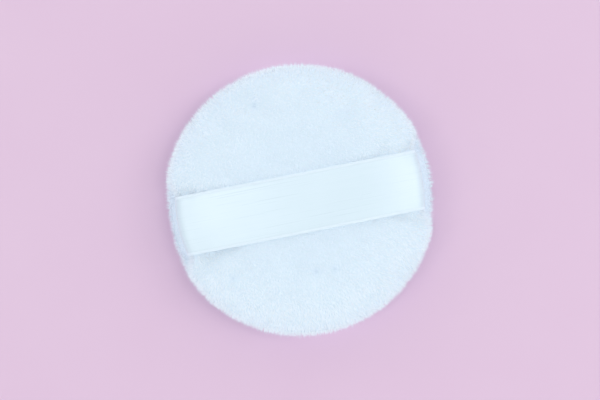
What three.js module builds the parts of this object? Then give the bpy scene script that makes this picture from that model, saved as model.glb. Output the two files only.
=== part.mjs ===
// Round velour powder puff with a satin finger band.
// Two velour covers are sewn together at the rim round a foam disc, and a ribbon crosses the grip side
// with both ends caught in the rim seam. Millimetres, +Z up. The puff lies on its powder side, the ribbon
// runs along X, and the origin is the middle of the flat patch that the puff rests on.

import * as THREE from 'three';
import { mergeVertices } from 'three/addons/utils/BufferGeometryUtils.js';

// Puff
const PUFF_DIAMETER = 65;
const SEAM_LEVEL = 6.8; // rim seam above the resting face
const GRIP_RISE = 6.8; // seam up to the grip crown
const POWDER_RISE = 7.3; // seam down to the powder crown, before it is flattened by resting
const ROUNDING = 3; // exponent of the pillow curve: 2 is an ellipse, more is flatter on top
const SIDES = 60;
const ARC_STEPS = 8;
const INSIDE_STEPS = 5;
const LIP_STEPS = 4;

// Velour covers and the seam that draws in the rim
const COVER_THICKNESS = 1.8; // knitted ground and standing pile
const CLOTH_THICKNESS = 0.6; // ground alone, as turned in at the seam
const LIP_RISE = 1.6; // seam to the widest level of each cover
const SEAM_INSET = 1.8; // how far the seam is drawn in from the widest level
const TURN_IN = 3.2; // width of the seam allowance
const FIT_GAP = 0.3;

// Satin ribbon
const RIBBON_WIDTH = 14.5;
const RIBBON_THICKNESS = 0.4;
const RIBBON_OFFSET = -0.8; // the band lies a little off the middle
const BAND_HALF_LENGTH = 15; // stretch that lifts off the crown for the fingers
const RIBBON_TAIL = 2.7; // length of each end between the seam allowances
const RIBBON_EASE = 0.38; // how far each seam allowance gives way where a ribbon end passes
const EASE_MARGIN = 2.6; // cloth that gives way fully beside the ribbon
const EASE_FADE = 1.5; // cloth over which it closes up again

// Rim drawn in and up where the ribbon's ends pull on it
const PULL_IN = 2.2;
const PULL_UP = 0.8;
const PULL_FADE = 9; // length of rim beside the ribbon over which the pull dies out

// Foam disc
const FOAM_DIAMETER = 54;

// Threads
const SEAM_THREAD_DIAMETER = 0.3;
const SEAM_STITCH = 4;
const SEAM_STITCH_DEPTH = 0.12;
const CLOSING_THREAD_DIAMETER = 0.4;
const CLOSING_INSET = 0.5; // how far the closing stitches lie inside the widest level
const CLOSING_REACH = 0.3; // how far they run above and below the seam
const CLOSING_STITCH = 3;
const CLOSING_LENGTH = 36; // the gap that the puff was turned and filled through
const CLOSING_MIDDLE = -Math.PI / 2; // direction of that gap round the rim

// Colours
const VELOUR_WHITE = 0xdcebf8;
const SATIN_WHITE = 0xe3f3fc;
const FOAM_WHITE = 0xf4f1e6;
const THREAD_WHITE = 0xeef3f8;

const RADIUS = PUFF_DIAMETER / 2;
const HALF_GAP = FIT_GAP / 2;
const TURN_IN_LEVEL = HALF_GAP + CLOTH_THICKNESS;
const SEAM_RADIUS = RADIUS - SEAM_INSET;
const TURN_IN_RADIUS = SEAM_RADIUS - TURN_IN;

const { clamp, smoothstep } = THREE.MathUtils;
const puff = new THREE.Group();

function addPiece(name, geometry, color, roughness) {
  const material = new THREE.MeshStandardMaterial({ color, roughness, metalness: 0 });
  const mesh = new THREE.Mesh(reshaped(geometry, drawnIn), material);
  mesh.name = name;
  puff.add(mesh);
}

// Keeps only positions, with the vertices shared, so that the surface is closed.
function welded(geometry) {
  geometry.deleteAttribute('normal');
  geometry.deleteAttribute('uv');
  return mergeVertices(geometry, 1e-4);
}

// Moves each vertex of a geometry to place(vertex, index).
function reshaped(geometry, place) {
  const positions = geometry.attributes.position;
  const vertex = new THREE.Vector3();
  for (let i = 0; i < positions.count; i++) {
    vertex.fromBufferAttribute(positions, i);
    const moved = place(vertex, i);
    positions.setXYZ(i, moved.x, moved.y, moved.z);
  }
  return geometry;
}

// Where a point of the round puff goes once the ribbon's ends have pulled the rim in and up. The seam and
// the grip cover's lip follow the ribbon, and the foam and the widest level of the powder cover stay.
function drawnIn(point) {
  const height = point.z - SEAM_LEVEL;
  const besideRibbon = Math.abs(point.y - RIBBON_OFFSET) - RIBBON_WIDTH / 2;
  const below = 1 - smoothstep(-height, 0, LIP_RISE);
  const inner = FOAM_DIAMETER / 2 + FIT_GAP;
  const outward = Math.max(Math.hypot(point.x, point.y) - inner, 0) / (RADIUS - inner);
  const share = (1 - smoothstep(besideRibbon, 0, PULL_FADE)) * below * outward;
  point.x -= Math.sign(point.x) * PULL_IN * share;
  point.z += PULL_UP * share;
  return point;
}

// Pillow arc from the axis out to (radius, low), as points of radius and height above the seam.
// It is flat at the level of top wherever the full arc would rise past it.
function pillowArc(radius, rise, low, top, steps) {
  const points = [];
  const share = Math.min(1, (top - low) / (rise - low));
  const start = Math.acos(share ** (ROUNDING / 2));
  if (share < 1) {
    points.push(new THREE.Vector2(0, top));
  }
  for (let i = 0; i <= steps; i++) {
    const angle = THREE.MathUtils.lerp(start, Math.PI / 2, i / steps);
    const across = radius * Math.sin(angle) ** (2 / ROUNDING);
    const height = low + (rise - low) * Math.max(Math.cos(angle), 0) ** (2 / ROUNDING);
    points.push(new THREE.Vector2(across, height));
  }
  return points;
}

// Outside of a cover: crown, shoulder, and the lip that curls in to the seam.
function coverOutside(rise, top) {
  const points = pillowArc(RADIUS, rise, LIP_RISE, top, ARC_STEPS);
  for (let i = 1; i <= LIP_STEPS; i++) {
    const angle = (Math.PI / 2) * (i / LIP_STEPS);
    const across = RADIUS - SEAM_INSET * (1 - Math.cos(angle));
    const height = LIP_RISE - (LIP_RISE - HALF_GAP) * Math.sin(angle);
    points.push(new THREE.Vector2(across, height));
  }
  points.push(new THREE.Vector2(TURN_IN_RADIUS, HALF_GAP));
  return points;
}

function coverInside(rise) {
  const radius = RADIUS - COVER_THICKNESS;
  const wall = pillowArc(radius, rise - COVER_THICKNESS, TURN_IN_LEVEL, rise, INSIDE_STEPS);
  const turnIn = new THREE.Vector2(TURN_IN_RADIUS, TURN_IN_LEVEL);
  return [...wall, turnIn];
}

// Share of the ribbon's ease that a point of a cover takes: all of it at the seam, none above the lip.
function easeAt(height) {
  return RIBBON_EASE * clamp((LIP_RISE - height) / (LIP_RISE - HALF_GAP), 0, 1);
}

// Shell of one cover above the seam, open below, with its cloth eased where the ribbon ends pass.
function coverShell(rise, top, ribbonOffset) {
  const profile = [...coverInside(rise), ...coverOutside(rise, top).reverse()];
  const shell = new THREE.LatheGeometry(profile, SIDES).rotateX(Math.PI / 2);
  const full = RIBBON_WIDTH / 2 + EASE_MARGIN;
  return reshaped(shell, (vertex) => {
    const beside = Math.abs(vertex.y - ribbonOffset) - full;
    vertex.z += easeAt(vertex.z) * clamp(1 - beside / EASE_FADE, 0, 1);
    return vertex;
  });
}

function gripCover() {
  const shell = coverShell(GRIP_RISE, GRIP_RISE, RIBBON_OFFSET);
  return welded(shell.translate(0, 0, SEAM_LEVEL));
}

// The powder cover is a shell turned over about X, so its ribbon lies at the opposite offset before that.
function powderCover() {
  const shell = coverShell(POWDER_RISE, SEAM_LEVEL, -RIBBON_OFFSET);
  return welded(shell.rotateX(Math.PI).translate(0, 0, SEAM_LEVEL));
}

// Foam disc, a gap inside both covers and clear of the seam allowance.
function spongeCore() {
  const arcSteps = 24;
  const keepEvery = 3;
  const half = (rise, top) => {
    const inner = RADIUS - COVER_THICKNESS;
    const arc = pillowArc(inner, rise - COVER_THICKNESS, TURN_IN_LEVEL, top, arcSteps);
    const face = arc.filter((point) => point.x < FOAM_DIAMETER / 2);
    const beyond = arc[face.length];
    const last = face[face.length - 1];
    const share = (FOAM_DIAMETER / 2 - last.x) / (beyond.x - last.x);
    const edge = last.clone().lerp(beyond, share);
    const kept = face.filter((point, i) => i % keepEvery === 0);
    return [...kept, edge].map((point) => new THREE.Vector2(point.x, point.y - FIT_GAP));
  };
  const above = half(GRIP_RISE, GRIP_RISE);
  const below = half(POWDER_RISE, POWDER_RISE).map((point) => new THREE.Vector2(point.x, -point.y));
  const disc = new THREE.LatheGeometry([...below, ...above.reverse()], SIDES).rotateX(Math.PI / 2);
  return welded(disc.translate(0, 0, SEAM_LEVEL));
}

// Path of the ribbon over the grip cover, from the crown round the lip and into the seam.
function ribbonPath() {
  const points = coverOutside(GRIP_RISE, GRIP_RISE);
  points[points.length - 1].x = SEAM_RADIUS - RIBBON_TAIL;
  const eased = points.map((point) => new THREE.Vector2(point.x, point.y + easeAt(point.y)));
  return new THREE.SplineCurve(eased);
}

// Share of the path's length at which it is a given distance from the axis, short of the widest level.
function shareAtRadius(path, radius) {
  const pastShoulder = 0.7;
  const halvings = 40;
  let low = 0;
  let high = pastShoulder;
  for (let i = 0; i < halvings; i++) {
    const middle = (low + high) / 2;
    if (path.getPointAt(middle).x < radius) {
      low = middle;
    } else {
      high = middle;
    }
  }
  return low;
}

// Point over the grip cover: share along the path, distance across the ribbon, and standing off the cloth.
function overCover(path, share, across, standOff) {
  const base = path.getPointAt(share);
  const tangent = path.getTangentAt(share);
  const along = Math.sqrt(Math.max(base.x ** 2 - across ** 2, 0));
  const out = -tangent.y * standOff;
  const up = tangent.x * standOff;
  const scale = base.x > 0 ? 1 + out / base.x : 1;
  return new THREE.Vector3(along * scale, across * scale, SEAM_LEVEL + base.y + up);
}

// Flat strip of cloth laid over the cover. locate gives the point for a share of the strip's length,
// a distance across it and a distance off the cover.
function ribbonStrip(lengthSteps, locate) {
  const widthSteps = 6;
  const strip = new THREE.BoxGeometry(1, 1, 1, lengthSteps, widthSteps, 1);
  return welded(reshaped(strip, (vertex) => locate(
    vertex.x + 0.5,
    RIBBON_OFFSET + vertex.y * RIBBON_WIDTH,
    FIT_GAP + (vertex.z + 0.5) * RIBBON_THICKNESS,
  )));
}

// Middle of the ribbon, lying on the crown.
function ribbonBand(path) {
  const lengthSteps = 12;
  return ribbonStrip(lengthSteps, (s, across, standOff) => {
    const along = (2 * s - 1) * BAND_HALF_LENGTH;
    const share = shareAtRadius(path, Math.hypot(along, across));
    const point = overCover(path, share, across, standOff);
    return new THREE.Vector3(along, across, point.z);
  });
}

// One end of the ribbon, from the band over the rim and between the seam allowances.
function ribbonEnd(path) {
  const lengthSteps = 18;
  return ribbonStrip(lengthSteps, (s, across, standOff) => {
    const start = shareAtRadius(path, Math.hypot(BAND_HALF_LENGTH + FIT_GAP, across));
    return overCover(path, THREE.MathUtils.lerp(start, 1, s), across, standOff);
  });
}

// The same end turned to the other side of the puff, across the plane of the band's middle.
function mirroredEnd(path) {
  const end = ribbonEnd(path);
  reshaped(end, (vertex) => vertex.set(-vertex.x, vertex.y, vertex.z));
  const corners = end.index.array;
  for (let i = 0; i < corners.length; i += 3) {
    [corners[i], corners[i + 1]] = [corners[i + 1], corners[i]];
  }
  return end;
}

// Ring of machine stitches lying on a seam allowance: side is 1 above the seam and -1 below it.
function seamThread(side) {
  const radius = SEAM_RADIUS - TURN_IN / 2;
  const stitches = Math.round((2 * Math.PI * radius) / SEAM_STITCH);
  const stepsPerStitch = 4;
  const sides = 4;
  const thread = SEAM_THREAD_DIAMETER / 2;
  const level = TURN_IN_LEVEL + RIBBON_EASE / 2 + FIT_GAP + SEAM_STITCH_DEPTH + thread;
  const ring = new THREE.TorusGeometry(radius, thread, sides, stitches * stepsPerStitch);
  reshaped(ring, (vertex) => {
    const turn = Math.atan2(vertex.y, vertex.x);
    vertex.z += side * level + side * SEAM_STITCH_DEPTH * Math.cos(stitches * turn);
    return vertex;
  });
  return welded(ring.translate(0, 0, SEAM_LEVEL));
}

// Hand stitches that close the rim: runs along one lip and the other in turn, which cross the seam.
function closingThread() {
  const radius = RADIUS - CLOSING_INSET;
  const runs = Math.round(CLOSING_LENGTH / CLOSING_STITCH);
  const turnPerRun = CLOSING_STITCH / radius;
  const runShare = 0.6;
  const stepsPerRun = 6;
  const curveSegments = 3;
  const points = [];
  for (let i = 0; i < runs; i++) {
    const level = SEAM_LEVEL + (i % 2 ? CLOSING_REACH : -CLOSING_REACH);
    const start = CLOSING_MIDDLE + (i - runs / 2) * turnPerRun;
    for (const turn of [start, start + runShare * turnPerRun]) {
      points.push(new THREE.Vector3(radius * Math.cos(turn), radius * Math.sin(turn), level));
    }
  }
  const path = new THREE.CatmullRomCurve3(points, false, 'centripetal');
  const section = new THREE.Shape().absarc(0, 0, CLOSING_THREAD_DIAMETER / 2, 0, 2 * Math.PI);
  const steps = runs * stepsPerRun;
  return welded(new THREE.ExtrudeGeometry(section, { steps, extrudePath: path, curveSegments }));
}

const path = ribbonPath();
addPiece('grip_cover', gripCover(), VELOUR_WHITE, 0.95);
addPiece('powder_cover', powderCover(), VELOUR_WHITE, 0.95);
addPiece('sponge_core', spongeCore(), FOAM_WHITE, 0.9);
addPiece('ribbon_band', ribbonBand(path), SATIN_WHITE, 0.4);
addPiece('ribbon_end_right', ribbonEnd(path), SATIN_WHITE, 0.4);
addPiece('ribbon_end_left', mirroredEnd(path), SATIN_WHITE, 0.4);
addPiece('needle_thread', seamThread(1), THREAD_WHITE, 0.7);
addPiece('bobbin_thread', seamThread(-1), THREAD_WHITE, 0.7);
addPiece('closing_thread', closingThread(), THREAD_WHITE, 0.7);

export default puff;
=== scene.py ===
"""Looks of a round velour powder puff with a satin finger band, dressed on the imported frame."""
import math

import bmesh
import bpy
import numpy as np
from mathutils import Matrix, Vector, noise


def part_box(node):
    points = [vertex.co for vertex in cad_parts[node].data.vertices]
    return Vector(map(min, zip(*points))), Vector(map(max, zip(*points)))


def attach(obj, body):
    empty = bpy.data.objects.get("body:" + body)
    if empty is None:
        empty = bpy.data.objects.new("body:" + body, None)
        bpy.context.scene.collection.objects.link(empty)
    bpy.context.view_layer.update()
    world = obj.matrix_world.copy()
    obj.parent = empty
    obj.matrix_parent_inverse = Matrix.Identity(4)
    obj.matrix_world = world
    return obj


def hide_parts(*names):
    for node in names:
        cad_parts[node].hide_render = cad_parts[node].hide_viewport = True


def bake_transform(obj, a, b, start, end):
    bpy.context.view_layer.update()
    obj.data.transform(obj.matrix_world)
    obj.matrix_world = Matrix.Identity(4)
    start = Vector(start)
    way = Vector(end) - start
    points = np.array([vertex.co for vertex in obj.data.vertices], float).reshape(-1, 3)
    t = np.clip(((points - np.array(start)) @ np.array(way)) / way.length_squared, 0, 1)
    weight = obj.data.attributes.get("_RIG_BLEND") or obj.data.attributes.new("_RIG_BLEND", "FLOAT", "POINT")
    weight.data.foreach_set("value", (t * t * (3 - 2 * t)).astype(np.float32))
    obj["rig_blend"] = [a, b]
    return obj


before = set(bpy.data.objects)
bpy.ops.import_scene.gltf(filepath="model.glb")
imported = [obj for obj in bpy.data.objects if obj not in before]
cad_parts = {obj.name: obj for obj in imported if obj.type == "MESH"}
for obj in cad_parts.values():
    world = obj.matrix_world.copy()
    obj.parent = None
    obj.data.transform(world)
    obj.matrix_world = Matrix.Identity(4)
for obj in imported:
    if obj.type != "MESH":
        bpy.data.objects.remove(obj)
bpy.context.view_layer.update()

MM = 0.001

# Vector noise takes its offsets from a seed, which comes from the clock unless it is set.
noise.seed_set(5)

# Driving sizes, the same as the part's own.
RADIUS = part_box("powder_cover")[1].y
SEAM_LEVEL = 6.8 * MM
GRIP_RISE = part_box("grip_cover")[1].z - SEAM_LEVEL
POWDER_RISE = 7.3 * MM
LIP_RISE = 1.6 * MM
SEAM_INSET = 1.8 * MM
SEAM_RADIUS = RADIUS - SEAM_INSET
SEAM_GAP = 0.15 * MM
TURN_IN = 3.2 * MM
TURN_IN_LEVEL = 0.75 * MM
COVER_THICKNESS = 1.8 * MM
# Power of the crown's rounded outline: 2 is an ellipse, and more is flatter with a fuller shoulder.
ROUNDING = 3
FOAM_RADIUS = 27 * MM
FIT_GAP = 0.3 * MM
RIBBON_WIDTH = 14.5 * MM
RIBBON_HALF = RIBBON_WIDTH / 2
RIBBON_OFFSET = -0.8 * MM
RIBBON_TAIL = 2.7 * MM
PULL_IN = 2.2 * MM
PULL_UP = 0.8 * MM
PULL_FADE = 5 * MM

# How finely the pieces are drawn.
CROWN_STEPS = 240
LIP_STEPS = 40
COVER_ROUND = 168
COVER_STEPS = 40
FOAM_ROUND = 96
FOAM_STEPS = 36
FOAM_EDGE_STEPS = 5
RIBBON_PATH_STEPS = 430
RIBBON_ALONG = 132
CLOSING_STEPS = 144
# Points closer than this are one point.
MERGE = 0.001 * MM

# The knitted ground. Its depth inside the solid is a share of the pile's length.
GROUND_BODY = 0.35 * MM
GROUND_DEPTH = 0.7
GROUND_DEPTH_AT_SEAM = 0.05
# Heights above the seam between which a value changes from that at the seam to the usual one.
SEAM_EASE = (0.2 * MM, 2.0 * MM)
PILE_EASE = (0.2 * MM, 2.5 * MM)
NAP_EASE = (1.0 * MM, 4.0 * MM)
DENT_EASE = (0.2 * MM, 1.0 * MM)
SEWN_EASE = (0.1 * MM, 0.9 * MM)

# Unevenness of the filling under the cloth: depth and width of its broad and small dents.
BROAD_DENT = 0.22 * MM
BROAD_SPAN = 9 * MM
SMALL_DENT = 0.08 * MM
SMALL_SPAN = 4 * MM
# It comes in over this stretch past the ribbon's edge, and on the powder side also over these heights.
DENT_BESIDE = (-0.2 * MM, 1.4 * MM)
DENT_ABOVE = (1.2 * MM, 2.5 * MM)
# Small pressed dents and one low rise in the velour: place, radius and depth in millimetres.
NAP_MARKS = (
    (-6.4, 24.5, 1.7, 0.6),
    (-19.4, -15.4, 1.7, 0.5),
    (0.6, -17.7, 1.6, 0.5),
    (5.0, -18.0, 1.6, 0.5),
    (14.3, 18.2, 2.6, 0.25),
    (2.4, 8.6, 3.4, -0.45),
)

# The covers are swollen as cloth at a larger scale, which suits the solver better than millimetres do.
SWELL_SCALE = 10
SWELL_SLACK = 0.025
SWELL_PRESSURE = 2.0
SWELL_FRAMES = 16
SWELL_MOST = 0.5 * MM
SWELL_MIDDLE = 4 * MM
# How firmly the ribbon holds the ground under it.
RIBBON_HOLD = 0.6
RIBBON_HOLD_EASE = (-2.0 * MM, -0.6 * MM)

# The pile. Real velour fibres are about 0.02 mm thick, so they are drawn five times as thick to show.
STRAND_WIDTH = 0.1 * MM
STRAND_BELLY = 1.5
STRANDS_PER_MM2 = 13
PILE_LENGTH = 1.35 * MM
PILE_AT_SEAM = 1.3 * MM
PILE_SHORTEST = 0.8
PILE_LONGEST = 1.35
# Most strands are short of the longest, so their chance is raised to this power.
PILE_SHORTNESS = 3.0
PILE_PRESSED = 0.45
PRESS_FADE = 0.25 * MM
COMB_FADE = 1.0 * MM
TABLE_GAP = 0.02 * MM
# The seam allowance grows no pile. It lies this far inside the seam and this near its level.
TUCKED_IN = PULL_IN + 0.6 * MM
TUCKED_NEAR = PULL_UP + 0.4 * MM
SECTORS = 3
# The lean of the nap in lengths of pile: its general way, its slow drift and its small tufts.
NAP = Vector((0.2, -0.25, 0))
NAP_DRIFT = 0.22
NAP_DRIFT_SPAN = 8 * MM
NAP_TUFT = 0.1
NAP_TUFT_SPAN = 2.2 * MM
STRAY = Vector((0.3, 0.3, 0.15))
# The powder side's fringe wraps in and up round the ribbon's ends.
WRAP_INWARD = 0.9
WRAP_UP = 0.5
WRAP_BESIDE = (-0.5 * MM, 1.0 * MM)
WRAP_ABOVE = (0.6 * MM, 2.2 * MM)
# Tones run from 0 to 1. The lowest are painted shade in the pressed marks, and the shoulder is painted
# palest towards the rim, painted light where its slope catches less light.
MARK_SHADE_TONE = 0.15
STRAND_TONE = 0.4
SHOULDER_PAINTED_LIGHT = 0.6
PAINTED_LIGHT_START = 14 * MM
PAINTED_LIGHT_SPAN = 14 * MM
MARK_SHADE = 2.2
# Strands are painted darker towards their roots by this share: painted shade between the fibres.
ROOT_SHADE = 0.94
# Each strand takes a narrow column of the tone map.
MAP_EDGE = 0.02
MAP_ACROSS = 0.94
STRAND_COLUMN = 0.02

# The ribbon. It stands off the outside of the grip cover's solid, pressed into the pile on the crown.
RIBBON_BODY = 0.18 * MM
RIBBON_STAND = -0.24 * MM
RIBBON_STAND_AT_SEAM = 0.15 * MM
RIBBON_WAVE = 0.13 * MM
RIBBON_WAVE_ALONG = 13 * MM
RIBBON_WAVE_ACROSS = 9 * MM
RIBBON_FLAT_EASE = (0.6 * MM, 2.0 * MM)
# Half the length of its map, which is close to millimetres.
RIBBON_MAP_HALF = 40
RIBBON_CREASE = math.radians(50)
# Distances of the ribbon's lengthwise rows from its edge in mm: close together over the corded edge.
SELVEDGE_ROWS = (0, 0.1, 0.3, 0.5, 0.62, 0.8)
SELVEDGE_WIDTH = 0.62 * MM
SELVEDGE_RISE = 0.1 * MM
PLAIN_ROWS = 15
# Below the first level the ribbon stays with the puff, and above the second it lifts with the band.
LIFT_START = 10.2 * MM
LIFT_END = 13.9 * MM

# The foam disc and the stitches that close the rim.
FOAM_EDGE = 1.2 * MM
FOAM_DENT = 0.1 * MM
FOAM_DENT_SPAN = 5 * MM
CLOSING_THREAD = 0.3 * MM
CLOSING_LENGTH = 36 * MM
CLOSING_STITCH = 3 * MM
CLOSING_RISE = 0.3 * MM
# How far out of the seam the stitches lie, and how much further they swing, in thicknesses of thread.
CLOSING_OUT = 0.6
CLOSING_SWING = 0.4

# A Wave texture of scale 1 repeats over this length.
WAVE_TURN = math.tau / 20

# Studio. Lamps: name, place, size and power.
BACKDROP = "#E6D3E4"
TENT_LOW = 1.72
TENT_HIGH = 0.0
TABLE_HALF = 4
TABLE_FADE = (0.2, 1.2)
LAMPS = (
    ("soft_box_left", (-0.2, 0.03, 0.92), 0.27, 1.28),
    ("soft_box_right", (0.36, 0.0, 0.85), 0.3, 1.4),
    ("side_box_left", (-0.52, 0.0, 0.74), 0.3, 0.88),
    ("side_box_right", (0.62, 0.0, 0.62), 0.3, 0.9),
)
FRAME_WIDTH = 146 * MM
CAMERA_HEIGHT = 0.5
CAMERA_TURN = math.radians(-11.2)
SENSOR_WIDTH = 36


def hex_colour(code):
    """Linear colour of an sRGB hex value."""
    channels = [int(code[i:i + 2], 16) / 255 for i in (1, 3, 5)]
    return [c / 12.92 if c <= 0.04045 else ((c + 0.055) / 1.055) ** 2.4 for c in channels] + [1]


def add(tree, kind, inputs=None, **settings):
    """A node with its settings, values and links."""
    made = tree.nodes.new(kind)
    for name, value in settings.items():
        setattr(made, name, value)
    for name, value in (inputs or {}).items():
        if isinstance(value, bpy.types.NodeSocket):
            tree.links.new(value, made.inputs[name])
        else:
            made.inputs[name].default_value = value
    return made


def smooth(value, low, high):
    """Goes gently from 0 at low to 1 at high."""
    t = min(max((value - low) / (high - low), 0), 1)
    return t * t * (3 - 2 * t)


def in_order(form, unit=MM):
    """Sorts a bmesh by place, because operators such as spin leave it in another order each run."""
    def place(vertex):
        return [round(c / unit, 3) for c in vertex.co]

    def corners(item):
        return sorted(v.index for v in item.verts)

    for items, key in ((form.verts, place), (form.edges, corners), (form.faces, corners)):
        ranks = {item: rank for rank, item in enumerate(sorted(items, key=key))}
        items.sort(key=ranks.get)
        items.index_update()


def new_piece(name, form, material=None):
    """An object at the origin from a bmesh or a mesh."""
    if isinstance(form, bmesh.types.BMesh):
        mesh = bpy.data.meshes.new(name)
        form.to_mesh(mesh)
        form.free()
    else:
        mesh = form
        mesh.name = name
    piece = bpy.data.objects.new(name, mesh)
    bpy.context.scene.collection.objects.link(piece)
    if material:
        mesh.materials.clear()
        mesh.materials.append(material)
    return piece


def settled(piece):
    """The piece with its modifiers applied."""
    graph = bpy.context.evaluated_depsgraph_get()
    final = bpy.data.meshes.new_from_object(piece.evaluated_get(graph), depsgraph=graph)
    piece.modifiers.clear()
    old = piece.data
    piece.data = final
    bpy.data.meshes.remove(old)
    final.name = piece.name
    return piece


def without(piece, *names):
    """Drops values that the piece needed only while it was made."""
    held = piece.data.attributes
    for name in names:
        if name in held:
            held.remove(held[name])


def thickened(piece, body, offset):
    """The piece's sheet with its thickness."""
    wall = piece.modifiers.new("body", "SOLIDIFY")
    wall.thickness = body
    wall.offset = offset
    return settled(piece)


def new_material(name):
    """A material with its node tree and its shader."""
    made = bpy.data.materials.new(name)
    made.use_nodes = True
    tree = made.node_tree
    tree.nodes.clear()
    shader = add(tree, "ShaderNodeBsdfPrincipled")
    add(tree, "ShaderNodeOutputMaterial", {"Surface": shader.outputs["BSDF"]})
    return made, tree, shader


def velour_pile_material():
    """Cut polyester velour, brushed: matt, painted lighter at the tips and darker towards the roots, which
    is painted shade between the fibres.
    """
    made, tree, shader = new_material("polyester_velour_pile")
    # One map holds each strand's tone across, with its painted light and shade, and its height up, so that a
    # bake can keep it.
    own_map = add(tree, "ShaderNodeUVMap", uv_map="OFBake").outputs["UV"]
    place = add(tree, "ShaderNodeSeparateXYZ", {0: own_map})
    tone = add(tree, "ShaderNodeValToRGB", {"Fac": place.outputs["X"]})
    # The dark end and the stop above it hold painted shade for the pressed marks, and the pale end painted
    # light for the shoulder.
    tone.color_ramp.elements[0].color = hex_colour("#C2D6EA")
    tone.color_ramp.elements[1].color = hex_colour("#F2FAFF")
    tone.color_ramp.elements.new(MARK_SHADE_TONE).color = hex_colour("#E0EFFD")
    # Painted shade: each strand darkens towards its root.
    bounds = {"Value": place.outputs["Y"], "To Min": ROOT_SHADE, "To Max": 1.0}
    depth = add(tree, "ShaderNodeMapRange", bounds).outputs["Result"]
    shaded = {0: tone.outputs["Color"], "Scale": depth}
    colour = add(tree, "ShaderNodeVectorMath", shaded, operation="SCALE").outputs["Vector"]
    tree.links.new(colour, shader.inputs["Base Color"])
    shader.inputs["Roughness"].default_value = 0.9
    shader.inputs["Specular IOR Level"].default_value = 0
    shader.inputs["Sheen Weight"].default_value = 0.15
    shader.inputs["Sheen Roughness"].default_value = 0.5
    return made


def velour_ground_material():
    """Knitted ground of the velour, seen only between the fibres: matt, with rows of loops 0.5 mm apart."""
    made, tree, shader = new_material("polyester_velour_ground")
    place = add(tree, "ShaderNodeTexCoord").outputs["Object"]
    loops = add(tree, "ShaderNodeTexVoronoi", {"Vector": place, "Scale": 1 / (0.5 * MM)})
    # The yarn's colour drifts over about 6 mm.
    mottle = add(tree, "ShaderNodeTexNoise", {"Vector": place, "Scale": 1 / (6 * MM), "Detail": 3})
    colour = add(tree, "ShaderNodeValToRGB", {"Fac": mottle.outputs["Fac"]})
    colour.color_ramp.elements[0].color = hex_colour("#D6E8F5")
    colour.color_ramp.elements[1].color = hex_colour("#DFEFFA")
    tree.links.new(colour.outputs["Color"], shader.inputs["Base Color"])
    relief = {"Height": loops.outputs["Distance"], "Strength": 0.4, "Distance": 0.1 * MM}
    bump = add(tree, "ShaderNodeBump", relief)
    tree.links.new(bump.outputs["Normal"], shader.inputs["Normal"])
    shader.inputs["Roughness"].default_value = 0.9
    shader.inputs["Specular IOR Level"].default_value = 0
    shader.inputs["Sheen Weight"].default_value = 0.15
    return made


def satin_material():
    """Woven polyester satin: smooth floats that run along the ribbon give a soft sheen across it."""
    made, tree, shader = new_material("polyester_satin")
    # The map is in millimetres. Real weft threads lie 0.12 mm apart and are drawn 0.4 mm apart to show.
    place = add(tree, "ShaderNodeUVMap", uv_map="ribbon").outputs["UV"]
    weave = {"Vector": place, "Scale": WAVE_TURN / 0.4, "Distortion": 0.6, "Detail": 2, "Detail Scale": 2}
    weft = add(tree, "ShaderNodeTexWave", weave, bands_direction="X", wave_profile="SIN").outputs["Fac"]
    # Uneven warp threads show as streaks about 25 mm long and 0.3 mm wide.
    stretched = add(tree, "ShaderNodeMapping", {"Vector": place, "Scale": (0.04, 3.5, 1)}).outputs["Vector"]
    streaks = add(tree, "ShaderNodeTexNoise", {"Vector": stretched, "Scale": 1, "Detail": 4}).outputs["Fac"]
    colour = add(tree, "ShaderNodeValToRGB", {"Fac": streaks})
    colour.color_ramp.elements[0].position = 0.3
    colour.color_ramp.elements[0].color = hex_colour("#D3E7F0")
    colour.color_ramp.elements[1].position = 0.7
    colour.color_ramp.elements[1].color = hex_colour("#D6E9F2")
    # The plain-woven edges are less smooth than the floats between them, and are painted paler: partly their
    # own denser weave, partly a painted highlight along the corded edge.
    across = add(tree, "ShaderNodeSeparateXYZ", {0: place}).outputs["Y"]
    across = add(tree, "ShaderNodeMath", {0: across}, operation="ABSOLUTE").outputs[0]
    border = (RIBBON_HALF - SELVEDGE_WIDTH) / MM
    bounds = {"Value": across, "From Min": border - 0.08, "From Max": border + 0.08}
    edge = add(tree, "ShaderNodeMapRange", bounds).outputs["Result"]
    blend = {"Factor": edge, 6: colour.outputs["Color"], 7: hex_colour("#E0F0FA")}
    woven = add(tree, "ShaderNodeMix", blend, data_type="RGBA")
    tree.links.new(woven.outputs[2], shader.inputs["Base Color"])
    bounds = {"Value": streaks, "To Min": 0.265, "To Max": 0.29}
    rough = add(tree, "ShaderNodeMapRange", bounds).outputs[0]
    rough = add(tree, "ShaderNodeMath", {0: edge, 1: 0.3, 2: rough}, operation="MULTIPLY_ADD").outputs[0]
    tree.links.new(rough, shader.inputs["Roughness"])
    relief = {0: streaks, 1: 0.08, 2: weft}
    height = add(tree, "ShaderNodeMath", relief, operation="MULTIPLY_ADD").outputs[0]
    bump = add(tree, "ShaderNodeBump", {"Height": height, "Strength": 0.2, "Distance": 0.02 * MM})
    tree.links.new(bump.outputs["Normal"], shader.inputs["Normal"])
    shader.inputs["IOR"].default_value = 1.54
    tangent = add(tree, "ShaderNodeTangent", direction_type="UV_MAP", uv_map="ribbon")
    tree.links.new(tangent.outputs["Tangent"], shader.inputs["Tangent"])
    shader.inputs["Anisotropic"].default_value = 0.5
    shader.inputs["Sheen Weight"].default_value = 0.15
    return made


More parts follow.
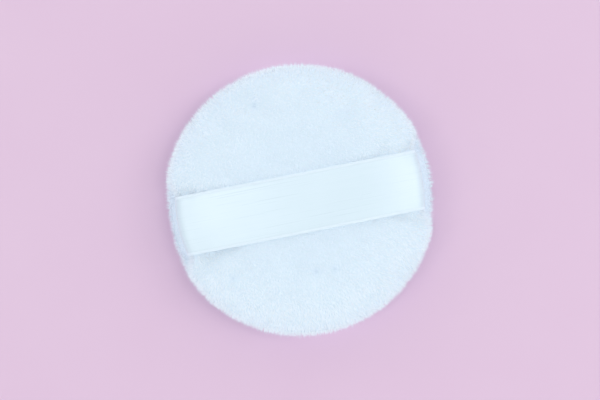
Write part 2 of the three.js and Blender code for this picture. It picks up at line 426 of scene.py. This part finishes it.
def foam_material():
    """Open-cell polyurethane foam: matt, warm white, with cells about 0.6 mm across."""
    made, tree, shader = new_material("polyurethane_foam")
    place = add(tree, "ShaderNodeTexCoord").outputs["Object"]
    cells = add(tree, "ShaderNodeTexVoronoi", {"Vector": place, "Scale": 1 / (0.6 * MM)})
    cells = cells.outputs["Distance"]
    # The colour is darker in the hollows of the cells, which is painted shade.
    colour = add(tree, "ShaderNodeValToRGB", {"Fac": cells})
    colour.color_ramp.elements[0].color = hex_colour("#DAD6C8")
    colour.color_ramp.elements[1].color = hex_colour("#F6F3E9")
    tree.links.new(colour.outputs["Color"], shader.inputs["Base Color"])
    bump = add(tree, "ShaderNodeBump", {"Height": cells, "Strength": 0.6, "Distance": 0.25 * MM})
    tree.links.new(bump.outputs["Normal"], shader.inputs["Normal"])
    shader.inputs["Roughness"].default_value = 0.95
    return made


def thread_material():
    """Spun polyester sewing thread: soft gloss, with plies that turn about every 0.5 mm."""
    made, tree, shader = new_material("spun_polyester_thread")
    place = add(tree, "ShaderNodeTexCoord").outputs["Object"]
    twist = {"Vector": place, "Scale": WAVE_TURN / (0.5 * MM), "Distortion": 1.5}
    ply = add(tree, "ShaderNodeTexWave", twist, bands_direction="DIAGONAL").outputs["Fac"]
    # The colour is darker in the grooves between the plies, which is painted shade.
    colour = add(tree, "ShaderNodeValToRGB", {"Fac": ply})
    colour.color_ramp.elements[0].color = hex_colour("#D3DCE6")
    colour.color_ramp.elements[1].color = hex_colour("#F2F6FA")
    tree.links.new(colour.outputs["Color"], shader.inputs["Base Color"])
    bump = add(tree, "ShaderNodeBump", {"Height": ply, "Strength": 0.5, "Distance": 0.08 * MM})
    tree.links.new(bump.outputs["Normal"], shader.inputs["Normal"])
    shader.inputs["Roughness"].default_value = 0.6
    return made


def past_ribbon(y):
    """Distance past the ribbon's nearer edge, negative under it."""
    return abs(y - RIBBON_OFFSET) - RIBBON_HALF


def eased(at_seam, usual, height, ease=SEAM_EASE):
    """A value that changes from one at the seam to the usual one above it."""
    return at_seam + (usual - at_seam) * smooth(height, *ease)


def drawn_in(point):
    """Moves a point as the ribbon's sewn ends draw the rim in and up."""
    below = 1 - smooth(SEAM_LEVEL - point.z, 0, LIP_RISE)
    inner = FOAM_RADIUS + FIT_GAP
    outward = max(math.hypot(point.x, point.y) - inner, 0) / (RADIUS - inner)
    share = (1 - smooth(past_ribbon(point.y), 0, PULL_FADE)) * below * outward
    point.x -= math.copysign(PULL_IN * share, point.x)
    point.z += PULL_UP * share


def evenly(points, count):
    """Points at equal steps along a line of points."""
    points = np.array(points)
    along = np.concatenate([[0], np.cumsum(np.linalg.norm(np.diff(points, axis=0), axis=1))])
    stops = np.linspace(0, along[-1], count)
    return [[float(np.interp(s, along, column)) for column in points.T] for s in stops]


def crown_line(radius, base, rise):
    """Radius and height above the seam of a crown, from its top to its widest level."""
    line = []
    for i in range(CROWN_STEPS + 1):
        a = math.pi / 2 * i / CROWN_STEPS
        r = radius * math.sin(a) ** (2 / ROUNDING)
        h = base + (rise - base) * math.cos(a) ** (2 / ROUNDING)
        line.append((r, h))
    return line


def cover_line(rise):
    """Radius and height above the seam of a cover's outside, from its crown to its seam."""
    line = crown_line(RADIUS, LIP_RISE, rise)
    for i in range(1, LIP_STEPS + 1):
        a = math.pi / 2 * i / LIP_STEPS
        r = RADIUS - SEAM_INSET * (1 - math.cos(a))
        h = LIP_RISE - (LIP_RISE - SEAM_GAP) * math.sin(a)
        line.append((r, h))
    return line


def spun(line, steps):
    """A bmesh turned from a line of radii and heights."""
    form = bmesh.new()
    ring = [form.verts.new((r, 0, h)) for r, h in line]
    edges = [form.edges.new(pair) for pair in zip(ring, ring[1:])]
    bmesh.ops.spin(form, geom=ring + edges, axis=(0, 0, 1), angle=math.tau, steps=steps, use_merge=True)
    bmesh.ops.remove_doubles(form, verts=form.verts, dist=MERGE)
    bmesh.ops.recalc_face_normals(form, faces=form.faces)
    return form


def unevenness(point, side, marks):
    """How far the filling and the pressed marks move the ground out at one point."""
    dent = noise.noise(point / BROAD_SPAN + Vector((side * 7, 3, 1))) * BROAD_DENT
    dent += noise.noise(point / SMALL_SPAN + Vector((2, side * 5, 4))) * SMALL_DENT
    for x, y, wide, deep in marks:
        away = math.hypot(point.x - x * MM, point.y - y * MM)
        dent -= deep * MM * (1 - smooth(away, 0, wide * MM))
    return dent


def cover(name, rise, side, marks, material):
    """The knitted ground of one cover, part of a pile's length inside the outside of its CAD solid."""
    allowance = (SEAM_RADIUS - TURN_IN, SEAM_GAP)
    form = spun(evenly([*cover_line(rise), allowance], COVER_STEPS), COVER_ROUND)
    if sum(f.normal.z for f in form.faces) < 0:
        bmesh.ops.reverse_faces(form, faces=form.faces)
    for v in form.verts:
        v.co.z = SEAM_LEVEL + side * v.co.z
    if side < 0:
        bmesh.ops.reverse_faces(form, faces=form.faces)
    in_order(form)
    heights = form.verts.layers.float.new("height")
    lengths = form.verts.layers.float.new("pile")
    for v in form.verts:
        v.co.z = max(v.co.z, 0)
        v[heights] = abs(v.co.z - SEAM_LEVEL)
        drawn_in(v.co)
    form.normal_update()
    for v in form.verts:
        above = abs(v.co.z - SEAM_LEVEL)
        v[lengths] = eased(PILE_AT_SEAM, PILE_LENGTH, above, PILE_EASE)
        v.co -= v.normal * v[lengths] * eased(GROUND_DEPTH_AT_SEAM, GROUND_DEPTH, above)
        # The seam and what the ribbon lies on stay even.
        free = smooth(past_ribbon(v.co.y), *DENT_BESIDE)
        if side < 0:
            free = max(free, smooth(v[heights], *DENT_ABOVE))
        v.co += v.normal * unevenness(v.co, side, marks) * free * smooth(v[heights], *DENT_EASE)
    piece = new_piece(name, form, material)
    piece.data.shade_smooth()
    swell(piece, side)
    without(piece, "height")
    return piece


def swell(piece, side):
    """Lets the cover swell over its filling as cloth sewn along its rim, up to a limit."""
    mesh = piece.data
    start = np.array([v.co for v in mesh.vertices])
    heights = [height.value for height in mesh.attributes["height"].data]
    sewn = piece.vertex_groups.new(name="sewn")
    for v, height in zip(mesh.vertices, heights):
        tied = 1 - smooth(height, *SEWN_EASE)
        if side > 0:
            tied = max(tied, RIBBON_HOLD * (1 - smooth(past_ribbon(v.co.y), *RIBBON_HOLD_EASE)))
        sewn.add([v.index], tied, "REPLACE")
    mesh.transform(Matrix.Scale(SWELL_SCALE, 4))
    cloth = piece.modifiers.new("swell", "CLOTH")
    cloth.settings.quality = 5
    cloth.settings.mass = 0.3
    cloth.settings.tension_stiffness = 8
    cloth.settings.compression_stiffness = 8
    cloth.settings.shear_stiffness = 4
    cloth.settings.bending_stiffness = 0.05
    cloth.settings.shrink_min = -SWELL_SLACK
    cloth.settings.use_pressure = True
    cloth.settings.uniform_pressure_force = SWELL_PRESSURE
    cloth.settings.vertex_group_mass = "sewn"
    cloth.settings.effector_weights.gravity = 0
    cloth.collision_settings.use_collision = False
    cloth.point_cache.frame_start = 1
    cloth.point_cache.frame_end = SWELL_FRAMES
    for step in range(1, SWELL_FRAMES + 1):
        bpy.context.scene.frame_set(step)
    graph = bpy.context.evaluated_depsgraph_get()
    swollen = np.array([v.co for v in piece.evaluated_get(graph).data.vertices]) / SWELL_SCALE
    piece.modifiers.clear()
    bpy.context.scene.frame_set(1)
    moved = swollen - start
    far = np.linalg.norm(moved, axis=1)
    moved *= np.minimum(1, SWELL_MOST / np.maximum(far, 1e-9))[:, None]
    # The narrow faces round the middle move as one, so that they don't crease.
    middle = np.hypot(start[:, 0], start[:, 1]) < SWELL_MIDDLE
    moved[middle] = moved[middle].mean(axis=0)
    for v, at in zip(mesh.vertices, start + moved):
        v.co = at
    mesh.update()
    piece.vertex_groups.clear()


def strand():
    """One fibre of the pile, a three-sided spike one unit long with a belly half way up."""
    form = bmesh.new()
    bmesh.ops.create_cone(form, segments=3, radius1=0.5, radius2=0.02, depth=1, cap_ends=False,
                          matrix=Matrix.Translation((0, 0, 0.5)))
    sides = [e for e in form.edges if abs(e.verts[0].co.z - e.verts[1].co.z) > 0.5]
    bmesh.ops.subdivide_edges(form, edges=sides, cuts=1)
    tips = [v for v in form.verts if v.co.z > 0.9]
    bmesh.ops.pointmerge(form, verts=tips, merge_co=(0, 0, 1))
    in_order(form, unit=1)
    for v in form.verts:
        if 0.4 < v.co.z < 0.6:
            v.co.x *= STRAND_BELLY
            v.co.y *= STRAND_BELLY
    own_map = form.loops.layers.uv.new("OFBake")
    for face in form.faces:
        for loop in face.loops:
            x, y, z = loop.vert.co
            loop[own_map].uv = (0.5 + (x + 0.6 * y) * 0.8, z)
    return new_piece("strand", form)


def comb_sector(mesh, side, sector):
    """Keeps one sector of a ground's outside, and gives it the lean of its nap."""
    form = bmesh.new()
    form.from_mesh(mesh)
    low = -math.pi + math.tau * sector / SECTORS
    away = []
    for face in form.faces:
        middle = face.calc_center_median()
        turn = math.atan2(middle.y, middle.x)
        inside = math.hypot(middle.x, middle.y) < SEAM_RADIUS - TUCKED_IN
        tucked = inside and abs(middle.z - SEAM_LEVEL) < TUCKED_NEAR
        if tucked or not low <= turn < low + math.tau / SECTORS:
            away.append(face)
    bmesh.ops.delete(form, geom=away, context="FACES")
    nap = form.verts.layers.float_vector.new("nap")
    for v in form.verts:
        above = abs(v.co.z - SEAM_LEVEL)
        lean = NAP + noise.noise_vector(v.co / NAP_DRIFT_SPAN) * NAP_DRIFT
        lean += noise.noise_vector(v.co / NAP_TUFT_SPAN + Vector((3, 1, 8))) * NAP_TUFT
        lean *= smooth(above, *NAP_EASE)
        lean -= v.normal * lean.dot(v.normal)
        if side < 0:
            wrap = 1 - smooth(past_ribbon(v.co.y), *WRAP_BESIDE)
            wrap *= 1 - smooth(above, *WRAP_ABOVE)
            lean += Vector((-math.copysign(WRAP_INWARD, v.co.x), 0, WRAP_UP)) * wrap
        v[nap] = lean
    form.to_mesh(mesh)
    form.free()


def pile_tree(side, shape, seed):
    """Nodes that grow strands on a ground, each with its own lean, length, turn and tone."""
    tree = bpy.data.node_groups.new("pile", "GeometryNodeTree")
    for way in ("INPUT", "OUTPUT"):
        tree.interface.new_socket("Geometry", in_out=way, socket_type="NodeSocketGeometry")
    ground = add(tree, "NodeGroupInput").outputs[0]
    spread = {"Mesh": ground, "Density": STRANDS_PER_MM2 / MM ** 2, "Seed": seed}
    spots = add(tree, "GeometryNodeDistributePointsOnFaces", spread)
    lean = add(tree, "GeometryNodeInputNamedAttribute", {"Name": "nap"}, data_type="FLOAT_VECTOR")
    lean = lean.outputs["Attribute"]
    length = add(tree, "GeometryNodeInputNamedAttribute", {"Name": "pile"}, data_type="FLOAT")
    length = length.outputs["Attribute"]
    bounds = {0: -STRAY, 1: STRAY, "Seed": seed + 1}
    stray = add(tree, "FunctionNodeRandomValue", bounds, data_type="FLOAT_VECTOR").outputs[0]
    bounds = {2: 0.0, 3: 1.0, "Seed": seed + 2}
    uneven = add(tree, "FunctionNodeRandomValue", bounds, data_type="FLOAT").outputs[1]
    uneven = add(tree, "ShaderNodeMath", {0: uneven, 1: PILE_SHORTNESS}, operation="POWER").outputs[0]
    bounds = {"Value": uneven, "To Min": PILE_SHORTEST, "To Max": PILE_LONGEST}
    uneven = add(tree, "ShaderNodeMapRange", bounds).outputs[0]

    # Under the ribbon the grip side's strands are pressed short, and beside it they stand up straight.
    place = add(tree, "GeometryNodeInputPosition").outputs[0]
    beside = add(tree, "ShaderNodeSeparateXYZ", {0: place}).outputs["Y"]
    beside = add(tree, "ShaderNodeMath", {0: beside, 1: RIBBON_OFFSET}, operation="SUBTRACT").outputs[0]
    beside = add(tree, "ShaderNodeMath", {0: beside}, operation="ABSOLUTE").outputs[0]
    pressed, combed_there = (PILE_PRESSED, 0) if side > 0 else (1, 1)
    near = {"Value": beside, "From Min": RIBBON_HALF}
    bounds = {**near, "From Max": RIBBON_HALF + PRESS_FADE, "To Min": pressed}
    press = add(tree, "ShaderNodeMapRange", bounds).outputs[0]
    bounds = {**near, "From Max": RIBBON_HALF + COMB_FADE, "To Min": combed_there}
    combing = add(tree, "ShaderNodeMapRange", bounds).outputs[0]
    lean = add(tree, "ShaderNodeVectorMath", {0: lean, "Scale": combing}, operation="SCALE").outputs[0]
    uneven = add(tree, "ShaderNodeMath", {0: uneven, 1: press}, operation="MULTIPLY").outputs[0]
    tall = add(tree, "ShaderNodeMath", {0: length, 1: uneven}, operation="MULTIPLY").outputs[0]

    combed = {0: spots.outputs["Normal"], 1: lean}
    combed = add(tree, "ShaderNodeVectorMath", combed, operation="ADD").outputs[0]
    way = add(tree, "ShaderNodeVectorMath", {0: combed, 1: stray}, operation="ADD").outputs[0]
    turned = add(tree, "FunctionNodeAlignRotationToVector", {"Vector": way}, axis="Z").outputs[0]
    bounds = {2: 0.0, 3: math.tau, "Seed": seed + 4}
    spin = add(tree, "FunctionNodeRandomValue", bounds, data_type="FLOAT").outputs[1]
    about = add(tree, "ShaderNodeCombineXYZ", {"Z": spin}).outputs[0]
    about = add(tree, "FunctionNodeEulerToRotation", {0: about}).outputs[0]
    turned = {0: turned, 1: about}
    turned = add(tree, "FunctionNodeRotateRotation", turned, rotation_space="LOCAL").outputs[0]
    size = add(tree, "ShaderNodeCombineXYZ", {"X": STRAND_WIDTH, "Y": STRAND_WIDTH, "Z": tall}).outputs[0]

    bounds = {2: 0.0, 3: 1.0, "Seed": seed + 3}
    tone = add(tree, "FunctionNodeRandomValue", bounds, data_type="FLOAT").outputs[1]
    kept = {"Geometry": spots.outputs["Points"], "Name": "tone", "Value": tone}
    kept = add(tree, "GeometryNodeStoreNamedAttribute", kept, data_type="FLOAT", domain="POINT").outputs[0]
    blade = add(tree, "GeometryNodeObjectInfo", {"Object": shape}).outputs["Geometry"]
    grown = {"Points": kept, "Instance": blade, "Rotation": turned, "Scale": size}
    grown = add(tree, "GeometryNodeInstanceOnPoints", grown).outputs[0]
    real = add(tree, "GeometryNodeRealizeInstances", {0: grown}).outputs[0]
    add(tree, "NodeGroupOutput", {0: real})
    return tree


def tone_strands(mesh, marks):
    """Keeps the strands off the table and writes the tone of each into its map, with painted light on the
    shoulder and painted shade in the pressed marks.
    """
    count = len(mesh.vertices)
    at = np.empty(count * 3, np.float32)
    mesh.vertices.foreach_get("co", at)
    at = at.reshape(-1, 3)
    at[:, 2] = np.maximum(at[:, 2], TABLE_GAP)
    mesh.vertices.foreach_set("co", at.ravel())
    tones = np.empty(count, np.float32)
    mesh.attributes["tone"].data.foreach_get("value", tones)
    corners = np.empty(len(mesh.loops), np.int32)
    mesh.loops.foreach_get("vertex_index", corners)
    flat = np.empty(len(mesh.loops) * 2, np.float32)
    mesh.uv_layers["OFBake"].uv.foreach_get("vector", flat)
    flat = flat.reshape(-1, 2)
    # Painted light: strands are painted paler from the shoulder out to the rim.
    outward = np.clip((np.hypot(at[:, 0], at[:, 1]) - PAINTED_LIGHT_START) / PAINTED_LIGHT_SPAN, 0, 1)
    tones = MARK_SHADE_TONE + (1 - MARK_SHADE_TONE) * (STRAND_TONE * tones + SHOULDER_PAINTED_LIGHT * outward)
    # Painted shade: strands in the pressed dents are painted darker.
    for x, y, wide, deep in marks:
        near = np.clip(1 - np.hypot(at[:, 0] / MM - x, at[:, 1] / MM - y) / wide, 0, 1)
        tones *= 1 - np.clip(MARK_SHADE * deep * near, 0, 1)
    flat[:, 0] = MAP_EDGE + MAP_ACROSS * tones[corners] + STRAND_COLUMN * flat[:, 0]
    mesh.uv_layers["OFBake"].uv.foreach_set("vector", flat.ravel())


def pile(name, ground, side, shape, sector, seed, marks, material):
    """Strands on one sector of a cover's ground, laid by a wandering nap."""
    part = new_piece(name, ground.data.copy())
    comb_sector(part.data, side, sector)
    tree = pile_tree(side, shape, seed)
    part.modifiers.new("pile", "NODES").node_group = tree
    settled(part)
    bpy.data.node_groups.remove(tree)
    mesh = part.data
    mesh.materials.clear()
    mesh.materials.append(material)
    tone_strands(mesh, marks)
    mesh.shade_flat()
    without(part, "tone", "nap", "pile")
    return part


def ribbon_row(line, across):
    """The ribbon's middle layer at one distance from its centre line, from the crown to the tail."""
    y = RIBBON_OFFSET + across
    points = []
    for r, h in line:
        if r > abs(y):
            point = Vector((math.sqrt(r * r - y * y), y, SEAM_LEVEL + h))
            drawn_in(point)
            points.append((point.x, point.z))
    points.insert(0, (0, points[0][1]))
    points = np.array(points)
    step = np.gradient(points, axis=0)
    step /= np.linalg.norm(step, axis=1)[:, None]
    # It rises to the outside of the cover towards the seam, as the ground does, and so stays clear of it.
    stand = np.array([eased(RIBBON_STAND_AT_SEAM, RIBBON_STAND, z - SEAM_LEVEL) for z in points[:, 1]])
    points += np.stack([-step[:, 1], step[:, 0]], axis=1) * stand[:, None]
    return evenly(points, RIBBON_ALONG // 2 + 1)


def ribbon(material):
    """The satin strip over the grip side, from seam to seam."""
    tail = (SEAM_RADIUS - RIBBON_TAIL, SEAM_GAP)
    line = evenly([*cover_line(GRIP_RISE), tail], RIBBON_PATH_STEPS)
    corded = [RIBBON_HALF - distance * MM for distance in SELVEDGE_ROWS]
    plain = [corded[-1] * (2 * k / (PLAIN_ROWS + 1) - 1) for k in range(1, PLAIN_ROWS + 1)]
    lanes = [-y for y in corded] + plain + corded[::-1]
    rows = [ribbon_row(line, across) for across in lanes]
    form = bmesh.new()
    bmesh.ops.create_grid(form, x_segments=RIBBON_ALONG, y_segments=len(lanes) - 1, size=1)
    own_map = form.loops.layers.uv.new("ribbon")
    places = {}
    for v in form.verts:
        lane = round((v.co.y + 1) / 2 * (len(lanes) - 1))
        x, z = rows[lane][round(abs(v.co.x) * RIBBON_ALONG / 2)]
        places[v] = (v.co.x * RIBBON_MAP_HALF, lanes[lane] / MM)
        v.co = Vector((math.copysign(x, v.co.x), RIBBON_OFFSET + lanes[lane], z))
    for face in form.faces:
        for loop in face.loops:
            loop[own_map].uv = places[loop.vert]
    form.normal_update()
    if sum(f.normal.z for f in form.faces) < 0:
        bmesh.ops.reverse_faces(form, faces=form.faces)
        form.normal_update()
    for v in form.verts:
        at = Vector((v.co.x / RIBBON_WAVE_ALONG, v.co.y / RIBBON_WAVE_ACROSS, 2))
        wave = noise.noise(at) * RIBBON_WAVE
        cord = math.sin(math.pi * min(max(-past_ribbon(v.co.y) / SELVEDGE_WIDTH, 0), 1))
        # In the seam it is pressed flat.
        free = smooth(v.co.z - SEAM_LEVEL, *RIBBON_FLAT_EASE)
        v.co += v.normal * (wave + cord * SELVEDGE_RISE) * free
    piece = new_piece("satin_ribbon", form, material)
    piece.data.shade_smooth()
    thickened(piece, RIBBON_BODY, 0)
    piece.data.set_sharp_from_angle(angle=RIBBON_CREASE)
    return piece


def closing_stitches(material):
    """The hand stitches that close the rim, drawn down into the seam."""
    route = bpy.data.curves.new("closing_stitches", "CURVE")
    route.dimensions = "3D"
    route.bevel_depth = CLOSING_THREAD / 2
    route.bevel_resolution = 2
    route.use_fill_caps = True
    spline = route.splines.new("POLY")
    spline.points.add(CLOSING_STEPS)
    half = CLOSING_LENGTH / RADIUS / 2
    for i, point in enumerate(spline.points):
        share = i / CLOSING_STEPS
        turn = -math.pi / 2 + half * (2 * share - 1)
        wave = math.sin(math.tau * CLOSING_LENGTH / CLOSING_STITCH * share)
        r = SEAM_RADIUS + CLOSING_THREAD * (CLOSING_OUT + CLOSING_SWING * wave * wave)
        point.co = (r * math.cos(turn), r * math.sin(turn), SEAM_LEVEL + CLOSING_RISE * wave, 1)
    draft = bpy.data.objects.new("closing_draft", route)
    bpy.context.scene.collection.objects.link(draft)
    graph = bpy.context.evaluated_depsgraph_get()
    mesh = bpy.data.meshes.new_from_object(draft.evaluated_get(graph))
    bpy.data.objects.remove(draft)
    piece = new_piece("closing_stitches", mesh, material)
    piece.data.shade_smooth()
    return piece


def foam_disc(material):
    """The foam that fills the covers, crowned on both faces, with its cut edges rounded."""
    faces = []
    start = FOAM_RADIUS - FOAM_EDGE
    for rise in (POWDER_RISE, GRIP_RISE):
        line = np.array(crown_line(RADIUS - COVER_THICKNESS, TURN_IN_LEVEL, rise - COVER_THICKNESS))
        edge = np.array((start, np.interp(start, line[:, 0], line[:, 1])))
        corner = np.array((FOAM_RADIUS, np.interp(FOAM_RADIUS, line[:, 0], line[:, 1])))
        cut = corner - (0, FOAM_EDGE)
        crown = [point for point in line if point[0] < start]
        face = evenly([*crown, edge], FOAM_STEPS)
        for t in np.linspace(0, 1, FOAM_EDGE_STEPS + 1)[1:]:
            face.append((1 - t) ** 2 * edge + 2 * t * (1 - t) * corner + t * t * cut)
        faces.append(face)
    lower = [(r, SEAM_LEVEL + FIT_GAP - h) for r, h in faces[0]]
    upper = [(r, SEAM_LEVEL - FIT_GAP + h) for r, h in faces[1]]
    form = spun(lower + upper[::-1], FOAM_ROUND)
    in_order(form)
    form.normal_update()
    for v in form.verts:
        v.co += v.normal * noise.noise(v.co / FOAM_DENT_SPAN + Vector((4, 2, 9))) * FOAM_DENT
    piece = new_piece("foam_disc", form, material)
    piece.data.shade_smooth()
    return piece


def seen_directly(tree):
    """One for rays that show a background as such: the camera's, and those that gloss or glass sends on."""
    ray = add(tree, "ShaderNodeLightPath")
    seen = {0: ray.outputs["Is Camera Ray"], 1: ray.outputs["Is Glossy Ray"]}
    seen = add(tree, "ShaderNodeMath", seen, operation="MAXIMUM").outputs[0]
    seen = {0: seen, 1: ray.outputs["Is Transmission Ray"]}
    return add(tree, "ShaderNodeMath", seen, operation="MAXIMUM").outputs[0]


def table():
    """A plain pale table under the puff."""
    made, tree, shader = new_material("pale_table")
    place = add(tree, "ShaderNodeTexCoord").outputs["Object"]
    # Its colour drifts a little over about 30 mm.
    grain = add(tree, "ShaderNodeTexNoise", {"Vector": place, "Scale": 1 / (30 * MM), "Detail": 2})
    colour = add(tree, "ShaderNodeValToRGB", {"Fac": grain.outputs["Fac"]})
    colour.color_ramp.elements[0].color = hex_colour("#E0C3DC")
    colour.color_ramp.elements[1].color = hex_colour("#E3C8DF")
    tree.links.new(colour.outputs["Color"], shader.inputs["Base Color"])
    shader.inputs["Roughness"].default_value = 0.7
    # Far from the puff it fades into the backdrop.
    away = add(tree, "ShaderNodeVectorMath", {0: place}, operation="LENGTH").outputs["Value"]
    bounds = {"Value": away, "From Min": TABLE_FADE[0], "From Max": TABLE_FADE[1]}
    fade = add(tree, "ShaderNodeMapRange", bounds, interpolation_type="SMOOTHSTEP").outputs["Result"]
    share = add(tree, "ShaderNodeMath", {0: seen_directly(tree), 1: fade}, operation="MULTIPLY").outputs[0]
    glow = add(tree, "ShaderNodeEmission", {"Color": hex_colour(BACKDROP)}).outputs[0]
    both = add(tree, "ShaderNodeMixShader", {0: share, 1: shader.outputs[0], 2: glow}).outputs[0]
    tree.links.new(both, tree.nodes["Material Output"].inputs["Surface"])
    form = bmesh.new()
    bmesh.ops.create_grid(form, x_segments=1, y_segments=1, size=TABLE_HALF)
    new_piece("table", form, made)


def lamp(name, at, size, power):
    """A square soft box that faces the puff."""
    light = bpy.data.lights.new(name, "AREA")
    light.size = size
    light.energy = power
    thing = bpy.data.objects.new(name, light)
    thing.location = at
    aim = Vector((0, 0, SEAM_LEVEL)) - Vector(at)
    thing.rotation_euler = aim.to_track_quat("-Z", "Y").to_euler()
    bpy.context.scene.collection.objects.link(thing)


def light_tent(scene):
    """White cloth all round, brighter low down than overhead; seen directly it is a plain pale backdrop."""
    world = bpy.data.worlds.new("light_tent")
    world.use_nodes = True
    tree = world.node_tree
    tree.nodes.clear()
    way = add(tree, "ShaderNodeTexCoord").outputs["Generated"]
    rise = add(tree, "ShaderNodeSeparateXYZ", {0: way}).outputs["Z"]
    bounds = {"Value": rise, "To Min": TENT_LOW, "To Max": TENT_HIGH}
    glow = add(tree, "ShaderNodeMapRange", bounds).outputs["Result"]
    cloth = add(tree, "ShaderNodeBackground", {"Color": hex_colour("#FAFCFF"), "Strength": glow}).outputs[0]
    plain = {"Color": hex_colour(BACKDROP), "Strength": 1.0}
    backdrop = add(tree, "ShaderNodeBackground", plain).outputs[0]
    both = add(tree, "ShaderNodeMixShader", {0: seen_directly(tree), 1: cloth, 2: backdrop}).outputs[0]
    add(tree, "ShaderNodeOutputWorld", {"Surface": both})
    scene.world = world


pile_finish = velour_pile_material()
ground_finish = velour_ground_material()
thread_finish = thread_material()

grip = cover("grip_ground", GRIP_RISE, 1, NAP_MARKS, ground_finish)
powder = cover("powder_ground", POWDER_RISE, -1, (), ground_finish)
blade = strand()
coats = []
for label, ground, side, seed, marks in (("grip", grip, 1, 11, NAP_MARKS), ("powder", powder, -1, 71, ())):
    for k in range(SECTORS):
        name = f"{label}_pile_{k + 1}"
        coats.append(pile(name, ground, side, blade, k, seed + 10 * k, marks, pile_finish))
bpy.data.objects.remove(blade)
for ground in (grip, powder):
    without(ground, "pile")
    thickened(ground, GROUND_BODY, -1)

band = ribbon(satin_material())
foam = foam_disc(foam_material())
closing = closing_stitches(thread_finish)

for piece in coats:
    # Fine fibres pass the light on to their neighbours, so they take none away.
    piece.visible_shadow = False
    piece.visible_diffuse = False
for piece in [grip, powder, foam, closing, *coats]:
    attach(piece, "puff")
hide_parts("grip_cover")
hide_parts("powder_cover")
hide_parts("sponge_core")
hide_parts("closing_thread")
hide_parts("ribbon_band", "ribbon_end_left", "ribbon_end_right")
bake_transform(band, "puff", "band", start=(0, 0, LIFT_START), end=(0, 0, LIFT_END))

for name in ("needle_thread", "bobbin_thread"):
    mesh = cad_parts[name].data
    mesh.materials.clear()
    mesh.materials.append(thread_finish)

table()
for name, at, size, power in LAMPS:
    lamp(name, at, size, power)
scene = bpy.context.scene
light_tent(scene)
scene.view_settings.view_transform = "Standard"

# The photograph looks straight down, with the ribbon turned.
eye = bpy.data.cameras.new("camera")
eye.sensor_width = SENSOR_WIDTH
eye.lens = SENSOR_WIDTH * (CAMERA_HEIGHT - SEAM_LEVEL) / FRAME_WIDTH
camera = bpy.data.objects.new("camera", eye)
camera.location = (0, 0, CAMERA_HEIGHT)
camera.rotation_euler = (0, 0, CAMERA_TURN)
scene.collection.objects.link(camera)
scene.camera = camera
